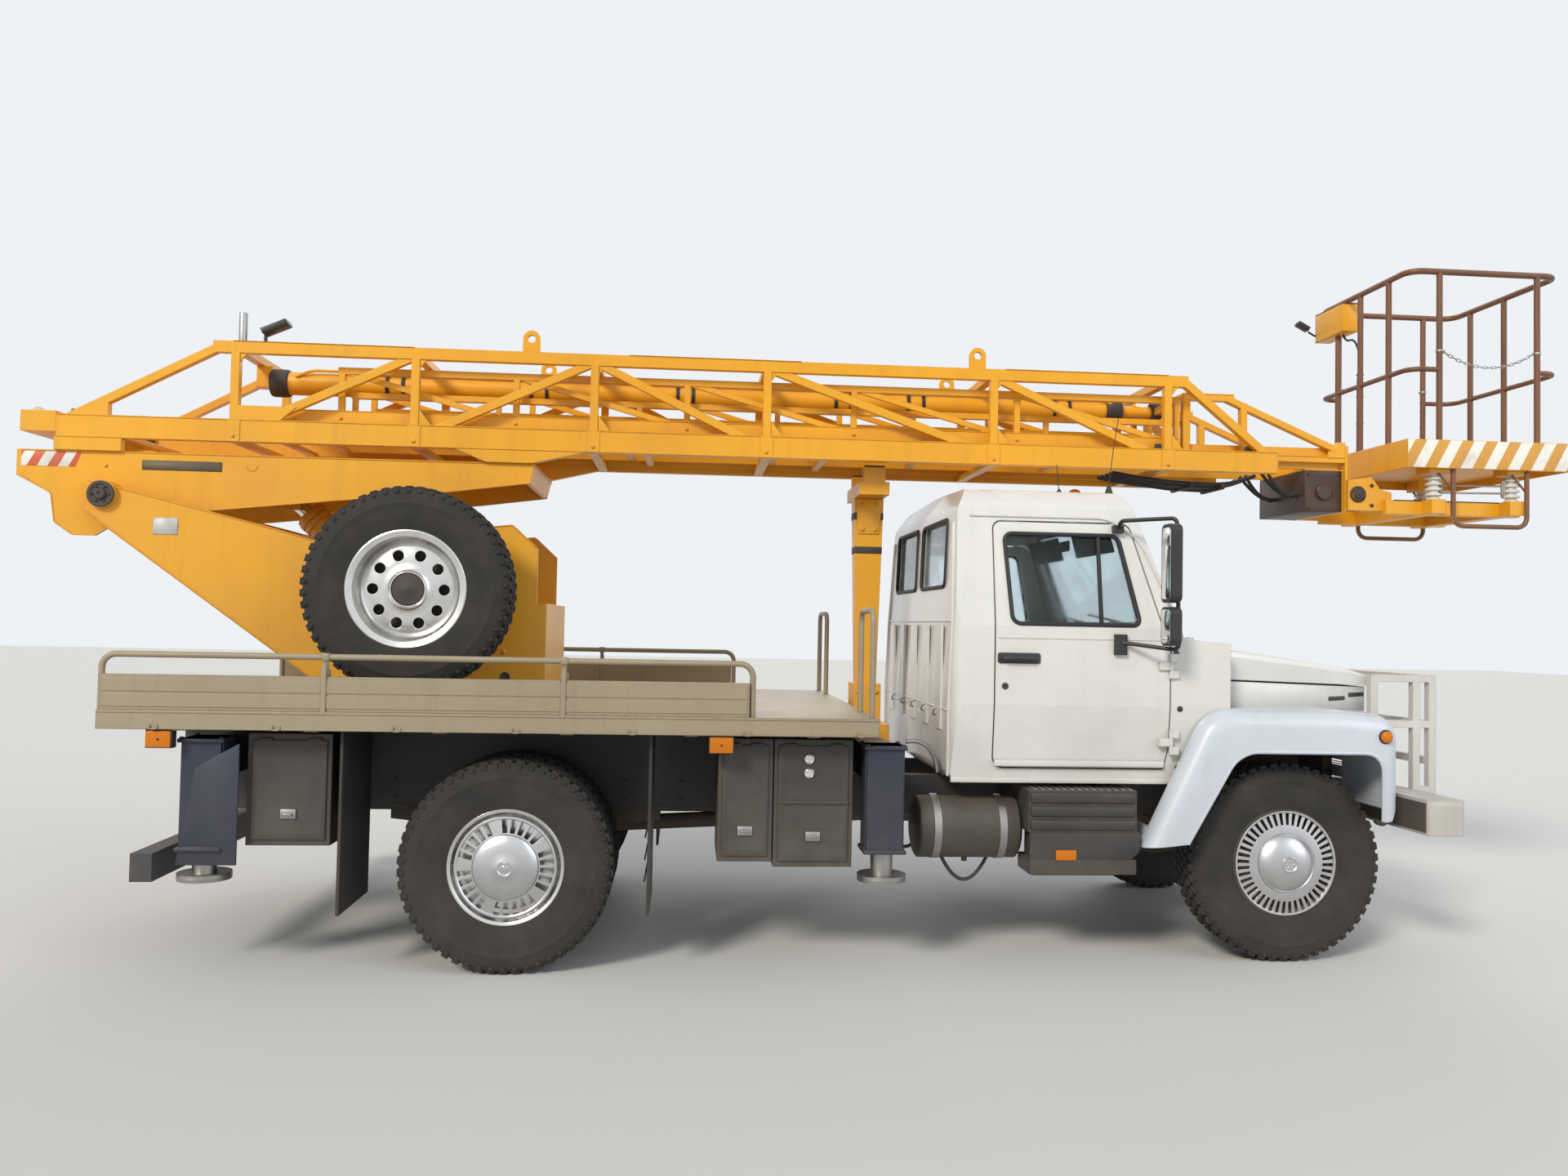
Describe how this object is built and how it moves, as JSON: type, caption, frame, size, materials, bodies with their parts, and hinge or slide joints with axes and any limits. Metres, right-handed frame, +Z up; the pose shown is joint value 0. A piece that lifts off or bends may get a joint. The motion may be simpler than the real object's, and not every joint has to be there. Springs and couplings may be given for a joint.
{
  "type": "bonneted cherry picker truck with telescopic lattice boom",
  "caption": "Bonneted lorry with a slewing turret, a telescoping lattice boom laid over the cab, a railed work basket on insulators, a flat deck and outrigger jacks",
  "frame": {"origin": "on the ground below the middle of the truck's overall box, boom at rest", "axes": "+X to the truck's front, +Y to its left, +Z up"},
  "size_m": [8.18, 2.38, 3.637],
  "materials": {
    "cab_paint": "semi-gloss, dusty",
    "fender_paint": "semi-gloss",
    "boom_yellow": "semi-gloss, weathered",
    "deck_paint": "satin, dusty",
    "frame_paint": "satin",
    "box_paint": "satin, dirty",
    "bumper_paint": "satin",
    "rail_bronze": "satin",
    "iron": "dull",
    "tyre": "worn",
    "steel": "satin",
    "chrome": "polished",
    "wheel_paint": "satin",
    "glass": "clear",
    "lamp": "clear",
    "trim": "matte",
    "ceramic": "glazed"
  },
  "bodies": {
    "chassis": {"chassis_frame": "frame_paint", "powertrain": "iron", "front_axle": "iron", "rear_axle": "iron", "front_bumper": "bumper_paint", "cab_shell": "cab_paint", "cab_glass": "glass", "cab_interior": "trim", "front_fenders": "fender_paint", "grille": "cab_paint", "lamps": "lamp", "deck": "deck_paint", "deck_sides": "deck_paint", "rest_post": "boom_yellow", "toolboxes": "box_paint", "cab_steps": "box_paint", "mudguards": "trim", "outrigger_frames": "frame_paint", "slewing_base": "iron"},
    "knuckle_left_body": {"knuckle_left": "iron"},
    "knuckle_right_body": {"knuckle_right": "iron"},
    "wheel_front_left": {"tyre_front_left": "tyre", "rim_front_left": "wheel_paint"},
    "wheel_front_right": {"tyre_front_right": "tyre", "rim_front_right": "wheel_paint"},
    "wheels_rear_left": {"tyres_rear_left": "tyre", "rims_rear_left": "wheel_paint"},
    "wheels_rear_right": {"tyres_rear_right": "tyre", "rims_rear_right": "wheel_paint"},
    "jack_front_left_body": {"jack_front_left": "steel"},
    "jack_front_right_body": {"jack_front_right": "steel"},
    "jack_rear_left_body": {"jack_rear_left": "steel"},
    "jack_rear_right_body": {"jack_rear_right": "steel"},
    "left_door": {"door_left": "cab_paint", "door_glass_left": "glass", "mirror_left": "trim"},
    "right_door": {"door_right": "cab_paint", "door_glass_right": "glass", "mirror_right": "trim"},
    "hood_body": {"hood": "cab_paint"},
    "turret_body": {"turret": "boom_yellow", "spare_tyre": "tyre", "spare_rim": "steel"},
    "cylinder_body": {"lift_barrel": "boom_yellow"},
    "rod_body": {"lift_rod": "chrome"},
    "boom": {"boom_arm": "boom_yellow", "boom_outer": "boom_yellow", "outer_rungs": "boom_yellow", "lifting_eyes": "boom_yellow", "telescope_barrel": "boom_yellow"},
    "middle_section": {"boom_middle": "boom_yellow", "middle_rungs": "boom_yellow"},
    "inner_section": {"boom_inner": "boom_yellow", "inner_rungs": "boom_yellow"},
    "basket": {"basket_platform": "boom_yellow", "basket_frame": "boom_yellow", "insulators": "ceramic", "basket_rails": "rail_bronze"}
  },
  "joints": [
    {"name": "steer_left", "type": "hinge", "parent": "chassis", "child": "knuckle_left_body", "pos_m": [2.25, 0.7, 0.487], "axis": [0, 0, 1], "range_deg": [-30, 30]},
    {"name": "steer_right", "type": "hinge", "parent": "chassis", "child": "knuckle_right_body", "pos_m": [2.25, -0.7, 0.487], "axis": [0, 0, 1], "range_deg": [-30, 30]},
    {"name": "roll_front_left", "type": "hinge", "parent": "knuckle_left_body", "child": "wheel_front_left", "pos_m": [2.25, 0.815, 0.487], "axis": [0, 1, 0], "continuous": true},
    {"name": "roll_front_right", "type": "hinge", "parent": "knuckle_right_body", "child": "wheel_front_right", "pos_m": [2.25, -0.815, 0.487], "axis": [0, 1, 0], "continuous": true},
    {"name": "roll_rear_left", "type": "hinge", "parent": "chassis", "child": "wheels_rear_left", "pos_m": [-1.52, 0.845, 0.487], "axis": [0, 1, 0], "continuous": true},
    {"name": "roll_rear_right", "type": "hinge", "parent": "chassis", "child": "wheels_rear_right", "pos_m": [-1.52, -0.845, 0.487], "axis": [0, 1, 0], "continuous": true},
    {"name": "jack_front_left_slide", "type": "slide", "parent": "chassis", "child": "jack_front_left_body", "axis": [0, 0, -1], "range_m": [0, 0.4]},
    {"name": "jack_front_right_slide", "type": "slide", "parent": "chassis", "child": "jack_front_right_body", "axis": [0, 0, -1], "range_m": [0, 0.4]},
    {"name": "jack_rear_left_slide", "type": "slide", "parent": "chassis", "child": "jack_rear_left_body", "axis": [0, 0, -1], "range_m": [0, 0.4]},
    {"name": "jack_rear_right_slide", "type": "slide", "parent": "chassis", "child": "jack_rear_right_body", "axis": [0, 0, -1], "range_m": [0, 0.4]},
    {"name": "door_left_hinge", "type": "hinge", "parent": "chassis", "child": "left_door", "pos_m": [1.6365, 0.981, 1.5], "axis": [0, 0, -1], "range_deg": [0, 65]},
    {"name": "door_right_hinge", "type": "hinge", "parent": "chassis", "child": "right_door", "pos_m": [1.6365, -0.981, 1.5], "axis": [0, 0, 1], "range_deg": [0, 65]},
    {"name": "hood_hinge", "type": "hinge", "parent": "chassis", "child": "hood_body", "pos_m": [1.943, 0, 1.586], "axis": [0, -1, 0], "range_deg": [0, 45]},
    {"name": "turret_slew", "type": "hinge", "parent": "chassis", "child": "turret_body", "pos_m": [-2.03, 0, 1.235], "axis": [0, 0, 1], "continuous": true},
    {"name": "boom_lift", "type": "hinge", "parent": "turret_body", "child": "boom", "pos_m": [-3.635, 0, 2.2], "axis": [0, -1, 0], "range_deg": [0, 75]},
    {"name": "cylinder_tilt", "type": "hinge", "parent": "turret_body", "child": "cylinder_body", "pos_m": [-1.85, 0, 1.37], "axis": [0, -1, 0], "range_deg": [-3.27, 0]},
    {"name": "cylinder_rod", "type": "slide", "parent": "cylinder_body", "child": "rod_body", "axis": [-0.7572, 0, 0.6532], "range_m": [0, 0.9291]},
    {"name": "boom_extend", "type": "slide", "parent": "boom", "child": "middle_section", "axis": [1, 0, 0], "range_m": [0, 3.6]},
    {"name": "inner_extend", "type": "slide", "parent": "middle_section", "child": "inner_section", "axis": [1, 0, 0], "range_m": [0, 3.6]},
    {"name": "basket_level", "type": "hinge", "parent": "inner_section", "child": "basket", "pos_m": [2.97, 0, 2.4], "axis": [0, -1, 0], "range_deg": [-75, 0]}
  ],
  "couplings": [
    {"joint": "steer_right", "follows": "steer_left", "ratio": 1},
    {"joint": "cylinder_tilt", "follows": "boom_lift", "ratio": -0.043504},
    {"joint": "cylinder_rod", "follows": "boom_lift", "m_per_rad": 0.70898},
    {"joint": "basket_level", "follows": "boom_lift", "ratio": -1},
    {"joint": "inner_extend", "follows": "boom_extend", "ratio": 1}
  ]
}
